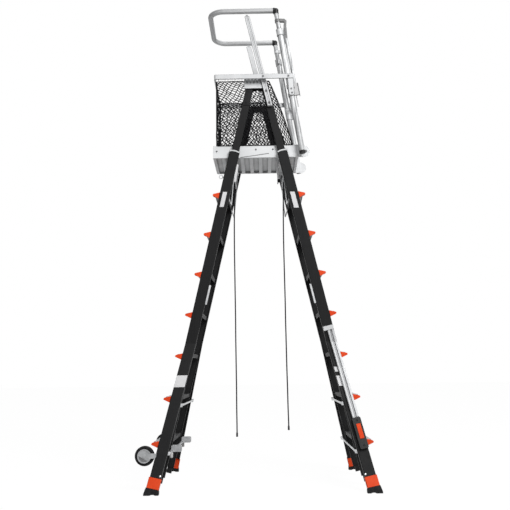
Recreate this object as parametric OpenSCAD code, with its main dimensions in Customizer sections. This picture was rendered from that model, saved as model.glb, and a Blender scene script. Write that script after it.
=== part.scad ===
// Height-adjustable platform stepladder with an enclosed guard cage, at its lowest setting.
// X runs from the roller side to the climbing side, Y runs across the steps, Z is up.
// Heights are taken from a datum just under the floor, and placed() brings the floor to zero.

/* [Frame] */
// Height of the standing surface over the datum
deck_z = 2438; // [2300:1:2600]
// Lean of every rail, sideways run per unit of height
lean = 0.23; // [0.2:0.005:0.26]
// Half width over the outer rails above the flare
half_w = 257; // [240:1:300]
// Height where the outer rails start to flare
flare_z = 1030; // [900:1:1200]
// Outward run of the flared legs per unit of height
flare = 0.3; // [0:0.005:0.35]
// Height of the lowest step
step_z = 348; // [300:1:400]
// Rise between steps, 12 inches along the rail
rise = 296.8; // [280:0.1:305]
// Steps on each side
steps = 7; // [5:1:8]

/* [Rails] */
// Middle of the outer rails, carried down to the floor
rail_mid = 745.5; // [700:0.5:780]
// Width of an outer rail
rail_w = 76; // [60:1:90]
// Depth of an outer rail's flanges
rail_d = 28; // [20:1:32]
// Top of the outer rails
rail_top = 2465; // [2300:1:2600]
// Width of an inner rail
fly_w = 56.5; // [48:0.5:60]
// Top of the inner rails
fly_top = 3000; // [2960:1:3050]
// Height of the apex pivot
apex_z = 2975; // [2965:1:2985]

/* [Guard] */
// Height of the top loop's centre line
loop_z = 3578; // [3450:1:3700]
// Radius of the loop tube
loop_r = 20; // [15:0.5:25]
// Half width of the loop and of the end posts
loop_y = 275; // [262:1:300]
// Radius of the loop's corners
loop_bend = 105; // [60:1:150]
// Far end of the loop on the roller side
loop_left = -362; // [-400:1:-300]
// Free ends of the loop on the climbing side
loop_right = 128; // [100:1:200]
// Radius of the end posts
post_r = 22; // [18:0.5:24]
// Underside of the middle rail
mid_z = 3014; // [2980:1:3060]
// Height of the middle rail's bar
mid_h = 36; // [25:1:50]
// Gap across one net mesh
mesh = 72; // [50:1:120]

/* [Feet and wheels] */
// Floor above the datum that all heights are taken from
floor_z = 27; // [0:1:35]
// Top of the rubber pads at the leg's middle
pad_h = 68; // [55:1:80]
// Top of the shoes at the leg's middle
shoe_top = 134; // [110:1:180]
// Toe of the pads, out from the apex
pad_out = 788; // [760:1:820]
// Radius of the wheels
wheel_r = 66; // [50:1:80]
// Wheel centre, out from the apex
wheel_x = -795; // [-850:1:-760]
// Wheel centre above the datum
wheel_z = 271; // [200:1:320]

/* [Hidden] */
$fn = 32;
rail_wall = 4.5;
rail_n = sqrt(1 + lean * lean);
leg_n = sqrt(1 + lean * lean + flare * flare);
rail_tilt = -atan(lean);
flare_tilt = atan(flare);
leg_tilt = -atan(lean * cos(flare_tilt));
rail_in = rail_mid - rail_w * rail_n / 2;
rail_out = rail_mid + rail_w * rail_n / 2;
fly_y = half_w - 6.5;
fly_inner = 234;
fly_d = fly_y - fly_inner;
fly_shift = -4.4;
plug_w = 38;
fly_mid = rail_mid + fly_shift * rail_n;
x_apex = (wheel_r - wheel_x - pad_out) / 2;
deck_l = -343;
deck_r = 340;
deck_y = 225;
deck_t = 19;
kick_h = 96;
pivot_x = 182;
pivot_z = 2428;
post_x0 = 330;
post_z0 = 2440;
post_lean = 0.159;
post_tilt = -atan(post_lean);
gate_z = 2835;
gate_reach = 40;
gate_span = 497;
net_y = 228;
net_z0 = 2516;
net_z1 = 3040;
cord_r = 4.75;
black = [0.1, 0.1, 0.11];
orange = [0.93, 0.3, 0.1];
silver = [0.78, 0.79, 0.8];
grey = [0.5, 0.51, 0.52];
dark = [0.36, 0.37, 0.38];

// Pull cords, from the bar that each is tied to down to its crimped end
cord_right_route = [
  [190, 0, 2281], [190, 0, 2240], [187, 1, 2120], [185, 2, 1990], [184, 2, 1860], [184, 1, 1730],
  [185, 0, 1600], [186, -1, 1470], [187, -2, 1340], [187, -2, 1210], [188, -1, 1080], [189, 0, 950],
  [190, 1, 820], [192, 1, 690], [193, 1, 560], [195, 0, 460], [195, 0, 416]];
cord_left_route = [
  [-190, 0, 2291], [-190, 0, 2250], [-194, -1, 2120], [-196, -2, 1990], [-197, -2, 1860], [-197, -1, 1730],
  [-196, 0, 1600], [-195, 1, 1470], [-194, 2, 1340], [-193, 2, 1210], [-193, 1, 1080], [-192, 0, 950],
  [-191, -1, 820], [-190, -1, 690], [-190, -1, 560], [-189, 0, 420], [-189, 0, 372]];

// Outer face of the outer rails at height z
function web_y(z) = half_w + max(0, flare_z - z) * flare;
function step_at(k) = step_z + rise * k;
function post_x(z) = post_x0 - post_lean * (z - post_z0);
// Distance from the flare point along a straight rail or along a flared leg, for a height
function up(z) = (z - flare_z) * rail_n;
function down(z) = (z - flare_z) * leg_n;
// Points of an arc, of a rectangle with round corners, and of a channel with round outer corners
function arc(cx, cy, r, a0, a1, n = 4) =
  [for (i = [0:n]) let (a = a0 + (a1 - a0) * i / n) [cx + r * cos(a), cy + r * sin(a)]];
function round_box(x0, y0, x1, y1, r) = concat(
  arc(x1 - r, y1 - r, r, 0, 90), arc(x0 + r, y1 - r, r, 90, 180),
  arc(x0 + r, y0 + r, r, 180, 270), arc(x1 - r, y0 + r, r, 270, 360));
function channel(w, d, t, r) = concat(
  arc(w / 2 - r, -r, r, 0, 90), arc(r - w / 2, -r, r, 90, 180),
  [[-w / 2, -d], [t - w / 2, -d], [t - w / 2, -t], [w / 2 - t, -t], [w / 2 - t, -d], [w / 2, -d]]);

module placed() translate([x_apex, 0, -floor_z]) children();
// Climbing (+1) or roller (-1) side, far (+1) or near (-1) side
module quarter(sx, sy) mirror([sx < 0 ? 1 : 0, 0, 0]) mirror([0, sy < 0 ? 1 : 0, 0]) children();
// Frames at the flare point, in the middle of the outer web: z along the rail, x out, y square to the web
module rail_frame() translate([rail_mid - lean * flare_z, half_w, flare_z]) rotate([0, rail_tilt, 0]) children();
module leg_frame() translate([rail_mid - lean * flare_z, half_w, flare_z])
  rotate([flare_tilt, 0, 0]) rotate([0, leg_tilt, 0]) children();
module run(z0, z1) translate([0, 0, z0]) linear_extrude(z1 - z0) children();
// Flat shape in the X-Z plane, extruded across from y0 to y1
module across(y0, y1) translate([0, y1, 0]) rotate([90, 0, 0]) linear_extrude(y1 - y0) children();
// The same on both sides, between two distances from the middle
module both(y0, y1) {
  across(y0, y1) children();
  across(-y1, -y0) children();
}
// Round bar across, on both sides
module pin(x, z, r, y0, y1, sides = 32) both(y0, y1) translate([x, z]) circle(r, $fn = sides);
// Shape between two distances from the apex line, square in height, that follows a rail's lean
module leaning(sx, a, b, z0, z1)
  polygon([for (p = [[a, z0], [b, z0], [b, z1], [a, z1]]) [sx * (p[0] - lean * p[1]), p[1]]]);

// Inner rails with narrower end blocks, and folded treads between them, the top one between the deck's braces
module fly_rails(sx) for (sy = [-1, 1]) quarter(sx, sy) rail_frame() translate([fly_shift, fly_y - half_w, 0]) {
  run(up(100), up(fly_top)) polygon(channel(fly_w, fly_d, 4, 3));
  run(up(60), up(99.8)) polygon(round_box(-plug_w / 2, -fly_d, plug_w / 2, 0, 3));
}
module fly_treads(sx)
  for (k = [0:steps - 1]) {
    z = step_at(k);
    end = k == steps - 1 ? deck_y + 0.5 : fly_y - 4.6;
    across(-end, end) difference() {
      leaning(sx, fly_mid - 23.5, fly_mid + 23.5, z - 14, z + 14);
      leaning(sx, fly_mid - 20.5, fly_mid + 20.5, z - 15, z + 11);
    }
  }
module front_fly_rails() color(black) placed() fly_rails(1);
module rear_fly_rails() color(black) placed() fly_rails(-1);
module front_fly_treads() color(black) placed() fly_treads(1);
module rear_fly_treads() color(black) placed() fly_treads(-1);

// Apex hinge: arched webs inside the inner rails' tops with the pins, and plates outside that turn on them
module hinge_arch(z0, z1) difference() {
  polygon([for (p = [[-1, z0], [1, z0], [1, z1], [-1, z1]]) [p[0] * (fly_mid + 24 - lean * p[1]), p[1]]]);
  translate([0, 2891]) circle(57);
}
module front_hinge() color(black) placed() {
  both(net_y + 1.5, fly_inner - 0.5) hinge_arch(2890, 2997);
  pin(0, apex_z, 10, net_y + 1.5, fly_y + 5.2);
}
module rear_hinge() color(black) placed() {
  both(fly_y + 0.5, fly_y + 4.5) difference() {
    union() {
      leaning(-1, fly_mid - 24, fly_mid + 24, 2826, 2996);
      polygon([[-60, 2953], [0, 2951], [0, 2999], [-48, 2996]]);
      translate([0, apex_z]) circle(24);
    }
    translate([0, apex_z]) circle(10.4);
  }
  for (z = [2848, 2936])
    pin(lean * z - fly_mid, z, 8, fly_y + 4.3, fly_y + 8.5, 6);
}

// Flat posts that carry the loop, in line with the climbing-side rails, with a pinned eye on top
module mid_posts() color(silver) placed() {
  difference() {
    both(fly_y + 0.5, fly_y + 25) leaning(1, fly_mid - 19, fly_mid + 19, 2812, 3536);
    both(fly_y + 22.5, fly_y + 26) leaning(1, fly_mid - 6, fly_mid + 6, 2800, 3540);
  }
  both(fly_y + 9, fly_y + 17) translate([fly_mid - lean * 3542, 3542]) difference() {
    circle(11);
    translate([0, 3]) circle(3);
  }
}
module gussets() color(silver) placed() both(fly_y + 9.5, fly_y + 13) polygon([
  [-101, 2954], [fly_mid - 19.4 - lean * 2954, 2954], [fly_mid - 19.4 - lean * 3050, 3050], [-100, 3050]]);

// Round tube loop with two swept corners, open towards the climbing side
module loop_solid(r) {
  for (s = [-1, 1]) {
    translate([loop_left + loop_bend, s * loop_y, loop_z]) rotate([0, 90, 0])
      cylinder(r = r, h = loop_right - loop_left - loop_bend);
    translate([loop_left + loop_bend, s * (loop_y - loop_bend), loop_z])
      rotate([0, 0, s > 0 ? 90 : 180]) rotate_extrude(angle = 90) translate([loop_bend, 0]) circle(r);
  }
  translate([loop_left, 0, loop_z]) rotate([90, 0, 0])
    cylinder(r = r, h = 2 * (loop_y - loop_bend), center = true);
}
module top_loop() color(silver) placed() loop_solid(loop_r);
// Elbow fittings that turn the loop's ends down into the end posts
module loop_caps() color(black) placed() for (s = [-1, 1]) {
  translate([loop_right + 0.2, s * loop_y, loop_z]) rotate([0, 90, 0]) cylinder(r = loop_r + 2.5, h = 13);
  translate([loop_right + 13, s * loop_y, loop_z]) rotate([0, 90, 0]) cylinder(r = loop_r + 0.5, h = 10);
  translate([loop_right + 23, s * loop_y, loop_z]) sphere(loop_r + 0.5);
  on_post(3552, s) cylinder(r = loop_r, h = 24);
}

// End posts: a thick lower tube with a thinner tube drawn out of it, and clamping collars
module on_post(z, s) translate([post_x(z), s * loop_y, z]) rotate([0, post_tilt, 0]) children();
module end_posts() color(silver) placed() for (s = [-1, 1]) {
  on_post(2452, s) difference() {
    cylinder(r = post_r, h = 975);
    translate([0, 0, -1]) cylinder(r = post_r - 4, h = 977);
  }
  on_post(3300, s) difference() {
    cylinder(r = 17, h = 255);
    translate([0, 0, -1]) cylinder(r = 13, h = 257);
  }
}
module post_collars() color(silver) placed() for (s = [-1, 1]) on_post(3370, s) difference() {
  union() {
    cylinder(r = post_r + 4, h = 52);
    translate([0, -s * (post_r + 6), 26]) cube([14, 14, 40], center = true);
  }
  translate([0, 0, -1]) cylinder(r = post_r + 0.2, h = 54);
}
module post_plugs() color(black) placed() for (s = [-1, 1]) on_post(2430, s) {
  cylinder(r1 = post_r - 1, r2 = post_r + 1, h = 4);
  translate([0, 0, 4]) cylinder(r = post_r + 1, h = 17.5);
}
// Side plates with a round lobe that hold the end posts to the inner rails and carry the deck pivots
module post_brackets() color(silver) placed() {
  both(deck_y + 0.7, deck_y + 2.7) {
    polygon(concat([[150, 2424], [340, 2416]], arc(340, 2462, 46, -90, 90, 12), [[144, 2508]]));
  }
  pin(post_x(2475), 2475, 12, deck_y + 2.5, loop_y - post_r - 0.2);
  pin(fly_mid - lean * 2478, 2478, 7, deck_y + 2.5, fly_y - 4.4);
  pin(pivot_x, pivot_z, 8, deck_y - 9, deck_y + 1);
}

// Middle rail: a flat bar bent round three sides, with end plates down the end posts
mid_in = loop_y + 23.5;
mid_out = loop_y + 33.5;
mid_bend = 16;
module mid_bar(y, x0) polygon(concat(
  [[273, -y], [273, y]], arc(x0 + mid_bend, y - mid_bend, mid_bend, 90, 180),
  arc(x0 + mid_bend, mid_bend - y, mid_bend, 180, 270)));
module mid_rail() color(silver) placed() {
  run(mid_z, mid_z + mid_h) difference() {
    mid_bar(mid_out, -328);
    translate([1, 0]) mid_bar(mid_in, -319);
  }
  both(mid_in + 3.5, mid_in + 7) polygon([[240, 2888], [248, 2880], [270, 2880], [278, 2888], [272, 3020], [230, 3020]]);
  pin(fly_mid - lean * 3032, 3032, 11, fly_y + 25, mid_in + 1);
}

// Diamond net panels inside the guard: bottom run a to b, top run a to c
module net_shape(a, b, c) difference() {
  polygon([[a, net_z0], [a, net_z1], [c, net_z1], [b, net_z0]]);
  for (i = [0:20], j = [1:20]) {
    cx = a + (i + 0.55 + (j % 2) / 2) * mesh;
    cz = net_z0 + j * mesh / 2 + 8;
    edge = b - (b - c) * (cz - net_z0) / (net_z1 - net_z0);
    if (cz < net_z1 - mesh / 2 && cx < edge - mesh * 0.6)
      translate([cx, cz]) rotate(45) square(mesh * 0.66, center = true);
  }
}
module net_near() color(black) placed() across(-net_y - 0.8, 0.8 - net_y) net_shape(-314, 262, 85);
module net_far() color(black) placed() across(net_y - 0.8, net_y + 0.8) net_shape(-314, 262, 85);
module net_end() color(black) placed() translate([-316.6, 0, 0]) rotate([0, 0, 90])
  across(-0.8, 0.8) net_shape(-226, 226, 226);

// Hexagon bolt heads on the guard's outer faces
module guard_bolts() color(grey) placed() {
  for (z = [2836, 2930])
    pin(fly_mid - lean * z, z, 8, fly_y + 25.2, fly_y + 30, 6);
  for (x = [fly_mid - lean * 3032, post_x(3032)])
    pin(x, 3032, 7, mid_out + 0.2, mid_out + 4.5, 6);
  for (z = [2898, 2930])
    pin(post_x(z) + 4, z, 6, mid_in + 7.2, mid_in + 11, 6);
  pin(360, 2462, 9, deck_y + 2.9, deck_y + 8, 6);
}

// Gate catches clamped on the far end post
module keeper(r, reach, h) difference() {
  union() {
    cylinder(r = r + 2, h = h);
    translate([0, -6, 0]) cube([reach, 12, h]);
    translate([reach - 3, -56, 0]) run(0, h) polygon(round_box(0, 0, 3, 62, 1.4));
  }
  translate([0, 0, -1]) cylinder(r = r + 0.2, h = h + 2);
}
module gate_keepers() color(dark) placed() {
  on_post(2888, 1) keeper(post_r, 56.5, 98);
  on_post(3478, 1) keeper(17, 76.5, 26);
}

// Flat braces inside the inner rails in a V, pinned to the rails, with a bar that carries a pull cord
module brace(p, q, w = 8)
  translate(p) rotate(atan2(q[1] - p[1], q[0] - p[0])) translate([0, -w / 2]) square([norm(q - p), w]);
module hanger(sx, bar_z, top) {
  both(deck_y + 0.7, deck_y + 2.7) mirror([sx < 0 ? 1 : 0, 0]) {
    brace([174, top], [207, 2053]);
    brace([245, 2164], [207, 2053]);
  }
  pin(sx * 176, 2392, 6, deck_y + 2.5, fly_y - 4.4);
  pin(sx * 245, 2158, 6, deck_y + 2.5, fly_y - 4.4);
  across(-deck_y - 1, deck_y + 1) translate([sx * 190, bar_z]) circle(8);
}
module deck_hangers() color(silver) placed() {
  hanger(1, 2290, 2418);
  both(deck_y + 0.7, deck_y + 2.7) {
    brace([176, 2404], [152, 2396]);
    brace([152, 2400], [152, 2328]);
  }
}
// The roller side's hanger also has the bar that the deck rests on, and a strut barrel beside the near rail
strut_low = [-196, -208, 2237];
strut_tilt = 8.1;
module rest_bar() color(silver) placed() {
  hanger(-1, 2300, 2412);
  across(-deck_y - 1, deck_y + 1) translate([-176, 2408]) circle(10);
  translate(strut_low) rotate([0, strut_tilt, 0]) {
    cylinder(r = 14.5, h = 138);
    translate([0, 0, -34]) cylinder(r = 5, h = 206);
  }
}

// Smooth tube of triangles through a route, and the crimp on its lower end
function mix(p, i, t) =
  let (a = p[max(i - 1, 0)], b = p[i], c = p[i + 1], d = p[min(i + 2, len(p) - 1)])
  b + t * ((c - a) / 2 + t * (a - 2.5 * b + 2 * c - d / 2 + t * (1.5 * (b - c) + (d - a) / 2)));
function smooth(p, k) = concat(
  [for (i = [0:len(p) - 2], j = [0:k - 1]) mix(p, i, j / k)], [p[len(p) - 1]]);
module tube(route, r, sides = 8) {
  m = len(route);
  points = [for (p = route, i = [0:sides - 1]) p + [r * cos(360 * i / sides), r * sin(360 * i / sides), 0]];
  walls = [for (k = [0:m - 2], i = [0:sides - 1], h = [0, 1])
    let (a = k * sides + i, b = k * sides + (i + 1) % sides)
    h == 0 ? [a, b, b + sides] : [a, b + sides, a + sides]];
  top = [for (i = [1:sides - 2]) [0, i + 1, i]];
  bottom = [for (i = [1:sides - 2]) (m - 1) * sides * [1, 1, 1] + [0, i, i + 1]];
  polyhedron(points, [for (f = concat(walls, top, bottom)) [f[2], f[1], f[0]]], convexity = 4);
}
function rev_route(p) = [for (i = [len(p) - 1:-1:0]) p[i]];
module cord(route) {
  tube(rev_route(smooth(route, 2)), cord_r);
  translate(route[len(route) - 1] - [0, 0, 26]) cylinder(r = cord_r + 2.5, h = 30);
}
module cord_right() color(black) placed() cord(cord_right_route);
module cord_left() color(black) placed() cord(cord_left_route);

// Standing deck, ribbed underneath, with kick boards that fold in a lip along the lower edge
module deck_panel() color(silver) placed() difference() {
  translate([deck_l + 4.2, 4.5 - deck_y, deck_z - deck_t])
    cube([deck_r - deck_l - 4.2, 2 * deck_y - 9, deck_t]);
  for (x = [deck_l + 22:70:deck_r - 50])
    if (abs(x + 21 - pivot_x) > 33)
      translate([0, 0, deck_z - deck_t - 1]) run(0, 16)
        polygon(round_box(x, 12 - deck_y, x + 42, deck_y - 12, 10));
  pin(pivot_x, pivot_z, 8.4, deck_y - 11, deck_y);
}
module toe_boards() color(silver) placed() {
  both(deck_y - 4, deck_y) difference() {
    polygon(round_box(deck_l, deck_z - deck_t, deck_r - 4, deck_z - deck_t + kick_h, 9));
    translate([pivot_x, pivot_z]) circle(8.5);
  }
  translate([deck_l, 4.5 - deck_y, 0]) rotate([90, 0, 90]) linear_extrude(4)
    polygon(round_box(0, deck_z - deck_t, 2 * deck_y - 9, deck_z - deck_t + kick_h, 6));
}

// Outer rails: straight above, flared below, mitred where they meet
module above_flare() difference() {
  children();
  translate([380, 190, flare_z - 80]) cube([300, 140, 80]);
}
module below_flare() difference() {
  children();
  translate([380, 190, flare_z]) cube([300, 140, 80]);
}
module base_rails(sx) for (sy = [-1, 1]) quarter(sx, sy) above_flare()
  rail_frame() run(-24, up(rail_top)) polygon(channel(rail_w, rail_d, rail_wall, 6));
module base_legs(sx) for (sy = [-1, 1]) quarter(sx, sy) below_flare()
  leg_frame() run(down(shoe_top), 24) polygon(channel(rail_w, rail_d, rail_wall, 6));
module step_shape(sx, z, pts)
  polygon([for (p = pts) [sx * (rail_out + p[0] - lean * (z + p[1])), z + p[1]]]);
module base_treads(sx) for (k = [0:steps - 1]) {
  z = step_at(k);
  across(36 - web_y(z), web_y(z) - 36) difference() {
    step_shape(sx, z, concat([[1, -10], [34, -4]], arc(36, 10, 4, 0, 90), [[1, 14]]));
    step_shape(sx, z, [[4, -12], [30, -12], [36, 11], [4, 11]]);
  }
}
module base_caps(sx) for (k = [0:steps - 1]) {
  z = step_at(k);
  both(web_y(z) - 35.5, web_y(z + 17) - 1.5)
    step_shape(sx, z, concat([[1, -27]], arc(42, -1, 8, -65, 70, 6), [[1, 17]]));
}
module base_rods(sx) {
  for (z = [285, 598]) {
    x = sx * (rail_in - 10.5 - lean * z);
    across(6 - web_y(z), web_y(z) - 6) translate([x, z]) circle(7);
    both(web_y(z) - 26, web_y(z) - 8) leaning(sx, rail_in - 18, rail_in - 3, z - 12, z + 12);
  }
  across(6 - half_w, 27 - half_w) leaning(sx, rail_in - 12, rail_in - 0.2, 1310, 1450);
}
// Bright arched bands round the outer rails' tops
module base_collars(sx) for (sy = [-1, 1]) quarter(sx, sy) rail_frame()
  translate([0, 3.4, up(rail_top)]) rotate([90, 0, 0]) linear_extrude(3)
    polygon(concat(arc(0, -86, 92, 65.6, 114.4, 8), arc(0, -98, 92, 114.4, 65.6, 8)));

module front_rails() color(black) placed() base_rails(1);
module rear_rails() color(black) placed() base_rails(-1);
module front_legs() color(black) placed() base_legs(1);
module rear_legs() color(black) placed() base_legs(-1);
module front_treads() color(silver) placed() base_treads(1);
module rear_treads() color(silver) placed() base_treads(-1);
module front_caps() color(orange) placed() base_caps(1);
module rear_caps() color(orange) placed() base_caps(-1);
module front_rods() color(silver) placed() base_rods(1);
module rear_rods() color(silver) placed() base_rods(-1);
module front_collars() color(silver) placed() base_collars(1);
module rear_collars() color(silver) placed() {
  base_collars(-1);
  translate([-283, -242, 2268]) rotate([90, 0, 0]) rotate_extrude() translate([13, 0]) circle(3, $fn = 16);
  translate([lean * 2260 - rail_out - 7, -247, 2260]) cube([6, 10, 16]);
}

// Feet: a moulded shoe cut square to the leg, over a rubber pad that stands level
module shoe(sx, sy, gap) quarter(sx, sy) leg_frame()
  run(down(pad_h) + 0.2, down(shoe_top) - gap) polygon(round_box(-42, -31, 43, 3, 6));
module pad(sx, sy) quarter(sx, sy) difference() {
  intersection() {
    leg_frame() translate([0, 4, down(pad_h)]) rotate([90, 0, 0]) linear_extrude(38)
      polygon([[-43, 0], [-45, -8], [-58, -70], [53, -70], [46, -8], [44, 0]]);
    translate([600, 480, floor_z]) cube([pad_out - 600, 140, 100]);
  }
  across(480, 620) translate([728, floor_z - 30]) circle(35);
}
module rear_shoes() color(orange) placed() for (sy = [-1, 1]) shoe(-1, sy, 0.2);
module rear_pads() color(black) placed() for (sy = [-1, 1]) pad(-1, sy);

// Leg levelers on the climbing side: a grooved track with a clamp, a housing, a sliding leg with its foot, a button
track = concat(
  [[-10, 0.5], [35, 0.5]], arc(31, 16, 4, 0, 90), [[20, 20], [18, 11], [8, 11], [6, 20]], arc(-6, 16, 4, 90, 180));
housing_z0 = down(298);
housing_z1 = down(498);
button_z0 = down(360);
button_z1 = down(457);
module level_tracks() color(silver) placed() for (sy = [-1, 1]) quarter(1, sy) {
  below_flare() leg_frame() run(housing_z1 + 0.5, 24) polygon(track);
  above_flare() rail_frame() {
    run(-24, up(1140)) polygon(track);
    run(up(1112), up(1144)) polygon(round_box(-37, 0.5, 37, 22, 3));
  }
}
module level_housings() color(black) placed() for (sy = [-1, 1]) quarter(1, sy) leg_frame() difference() {
  translate([0, 26, 0]) rotate([90, 0, 0]) linear_extrude(25.5)
    polygon(round_box(-18, housing_z0, 40, housing_z1, 9));
  translate([0, 40, 0]) rotate([90, 0, 0]) linear_extrude(28)
    polygon(round_box(-3, button_z0, 29, button_z1, 1.5));
}
module level_leg(sy) quarter(1, sy) leg_frame()
  run(down(shoe_top) - 0.5, down(520)) polygon(round_box(-32, -26.5, 32, -6, 3));
// Button with finger grooves down its face
module button(sy) quarter(1, sy) leg_frame() run(button_z0 + 1.5, button_z1 - 1.5) polygon(concat(
  [[-2, 16.5], [28, 16.5], [28, 28]],
  [for (i = [0:6]) [26.5 - 4.5 * i, i % 2 == 0 ? 30 : 28.2]], [[-2, 28]]));
module level_leg_near() color(black) placed() level_leg(-1);
module level_leg_far() color(black) placed() level_leg(1);
module level_shoe_near() color(orange) placed() shoe(1, -1, 0.5);
module level_shoe_far() color(orange) placed() shoe(1, 1, 0.5);
module level_pad_near() color(black) placed() pad(1, -1);
module level_pad_far() color(black) placed() pad(1, 1);
module button_near() color(orange) placed() button(-1);
module button_far() color(orange) placed() button(1);

// Tip-and-roll wheels on a disc-and-arm bracket with a fixed axle
module wheel_brackets() color(grey) placed() {
  both(493, 498) {
    translate([wheel_x, wheel_z]) circle(46);
    polygon([for (p = [[0, -18], [74, -14], [80, -6], [84, 16], [0, 22]]) [wheel_x, wheel_z] + p]);
  }
  both(498, 500.5) translate([wheel_x, wheel_z]) difference() {
    circle(46);
    circle(39);
    polygon([[0, -15], [60, -15], [60, 20], [0, 20]]);
  }
  both(497.5, 502) translate([wheel_x, wheel_z]) circle(10);
  pin(wheel_x, wheel_z, 6, 450, 494);
  pin(wheel_x + 77, wheel_z + 4, 4, 485, 494);
}
module at_wheel(sy) translate([wheel_x, sy * 471, wheel_z]) rotate([90, 0, 0]) children();
module tyre(sy) at_wheel(sy) rotate_extrude($fn = 48) polygon(concat(
  [[46.3, -17], [wheel_r - 7, -17]], arc(wheel_r - 7, -10, 7, -90, 0), arc(wheel_r - 7, 10, 7, 0, 90), [[46.3, 17]]));
module hub(sy) at_wheel(sy) difference() {
  cylinder(r = 46, h = 30, center = true, $fn = 48);
  for (s = [-1, 1]) translate([0, 0, s * 16]) difference() {
    cylinder(r = 40, h = 16, center = true, $fn = 48);
    cylinder(r = 13, h = 18, center = true);
  }
  cylinder(r = 6.4, h = 40, center = true);
}
module tyre_near() color(black) placed() tyre(-1);
module tyre_far() color(black) placed() tyre(1);
module hub_near() color(grey) placed() hub(-1);
module hub_far() color(grey) placed() hub(1);

// Foot pedals: boxes open underneath that turn on the lower rod
pedal_x = lean * 285 + 10.5 - rail_in;
module pedal(y) translate([pedal_x, y, 285]) rotate([90, 0, 0]) difference() {
  linear_extrude(48, center = true) {
    circle(11.5);
    polygon(round_box(-4, -5, 66, 38, 7));
  }
  linear_extrude(40, center = true) polygon([[14, -10], [62, -10], [62, 30], [58, 34], [14, 34]]);
  cylinder(r = 7.4, h = 50, center = true);
}
module pedal_near() color(grey) placed() pedal(-308);
module pedal_far() color(grey) placed() pedal(308);

// Gate: a stile beside the near end post, two cross bars and a far stile
module gate_frame() color(silver) placed() on_post(gate_z, -1) {
  translate([gate_reach, 0, 125]) cylinder(r = 12, h = 387);
  translate([gate_reach, 0, 84]) cylinder(r = 8, h = 42);
  translate([gate_reach, 0, 150]) rotate([-90, 0, 0]) cylinder(r = 11, h = gate_span);
  translate([gate_reach + 20, 14.5, 664]) rotate([-90, 0, 0]) cylinder(r = 11, h = gate_span - 14.5);
  translate([gate_reach, gate_span, 139]) cylinder(r = 12, h = 374);
  translate([gate_reach, gate_span, 512]) rotate([0, 7.6, 0]) cylinder(r = 9, h = 154);
}
// Gate hinges: rings on the post, an angled strap above, a folded bracket and a closing rod below
module ring(r, h) difference() {
  cylinder(r = r + 4.5, h = h);
  translate([0, 0, -1]) cylinder(r = r + 0.5, h = h + 2);
}
module gate_straps() color(dark) placed() on_post(gate_z, -1) {
  translate([0, 0, 654]) ring(17, 22);
  translate([0, 14, 0]) rotate([90, 0, 0]) linear_extrude(28)
    polygon([[19, 654], [20, 676], [54, 668], [62, 657], [50, 512.5], [38, 512.5], [48, 649]]);
  translate([0, 0, 44]) ring(post_r, 24);
  translate([0, 0, 112]) ring(post_r, 24);
  translate([0, 0, 40]) difference() {
    run(0, 100) polygon([[24, -15], [64, -15], [64, 15], [24, 15]]);
    translate([0, 0, -1]) run(0, 102) polygon([[20, -12], [61, -12], [61, 30], [20, 30]]);
  }
  translate([34, -8, -46]) cylinder(r = 4, h = 90);
}

front_fly_rails();
front_fly_treads();
front_hinge();
mid_posts();
gussets();
top_loop();
loop_caps();
end_posts();
post_collars();
post_plugs();
post_brackets();
mid_rail();
net_near();
net_far();
net_end();
guard_bolts();
gate_keepers();
deck_hangers();
cord_right();
rear_fly_rails();
rear_fly_treads();
rear_hinge();
rest_bar();
cord_left();
deck_panel();
toe_boards();
front_rails();
front_legs();
front_treads();
front_caps();
front_rods();
front_collars();
level_tracks();
level_housings();
rear_rails();
rear_legs();
rear_treads();
rear_caps();
rear_rods();
rear_collars();
rear_shoes();
rear_pads();
wheel_brackets();
level_leg_near();
level_shoe_near();
level_pad_near();
level_leg_far();
level_shoe_far();
level_pad_far();
button_near();
button_far();
tyre_near();
hub_near();
tyre_far();
hub_far();
pedal_near();
pedal_far();
gate_frame();
gate_straps();
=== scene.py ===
import math
import bpy
from mathutils import Matrix, Vector, noise


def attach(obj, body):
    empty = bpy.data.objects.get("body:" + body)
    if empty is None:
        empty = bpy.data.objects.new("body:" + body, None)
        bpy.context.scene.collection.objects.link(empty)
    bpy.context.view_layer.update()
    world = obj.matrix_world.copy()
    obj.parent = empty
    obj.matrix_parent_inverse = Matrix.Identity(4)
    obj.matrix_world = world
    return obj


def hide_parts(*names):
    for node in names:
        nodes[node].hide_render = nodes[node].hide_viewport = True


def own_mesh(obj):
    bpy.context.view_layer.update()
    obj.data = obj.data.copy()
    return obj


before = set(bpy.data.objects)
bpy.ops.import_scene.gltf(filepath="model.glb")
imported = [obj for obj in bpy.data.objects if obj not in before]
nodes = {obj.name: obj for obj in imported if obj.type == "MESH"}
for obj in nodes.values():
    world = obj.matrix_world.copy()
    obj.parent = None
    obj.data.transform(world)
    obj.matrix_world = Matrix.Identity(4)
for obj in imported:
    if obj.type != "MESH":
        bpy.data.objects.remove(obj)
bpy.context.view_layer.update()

# Camera
# A normal lens 5.4 m in front of the near side, at chest height, tipped up to take in the guard.
# Its place, turn and focal length were fitted to the step ends, the rails and the feet.
scene = bpy.context.scene
scene.view_settings.view_transform = "Standard"
bpy.ops.object.select_all(action="DESELECT")
picture_side, focal_length, sensor = 510, 708.7, 36
eye = Vector((0.0738, -5.4, 0.8222))
pitch, yaw, roll = 0.1579, -0.0141, -0.013
forward = Vector((math.sin(yaw) * math.cos(pitch), math.cos(yaw) * math.cos(pitch), math.sin(pitch)))
level = Vector((math.cos(yaw), -math.sin(yaw), 0))
rising = level.cross(forward)
right = level * math.cos(roll) + rising * math.sin(roll)
above = rising * math.cos(roll) - level * math.sin(roll)
bpy.ops.object.camera_add()
camera = bpy.context.object
camera.data.sensor_width = sensor
camera.data.lens = sensor * focal_length / picture_side
camera.matrix_world = Matrix.Translation(eye) @ Matrix((right, above, -forward)).transposed().to_4x4()
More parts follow.
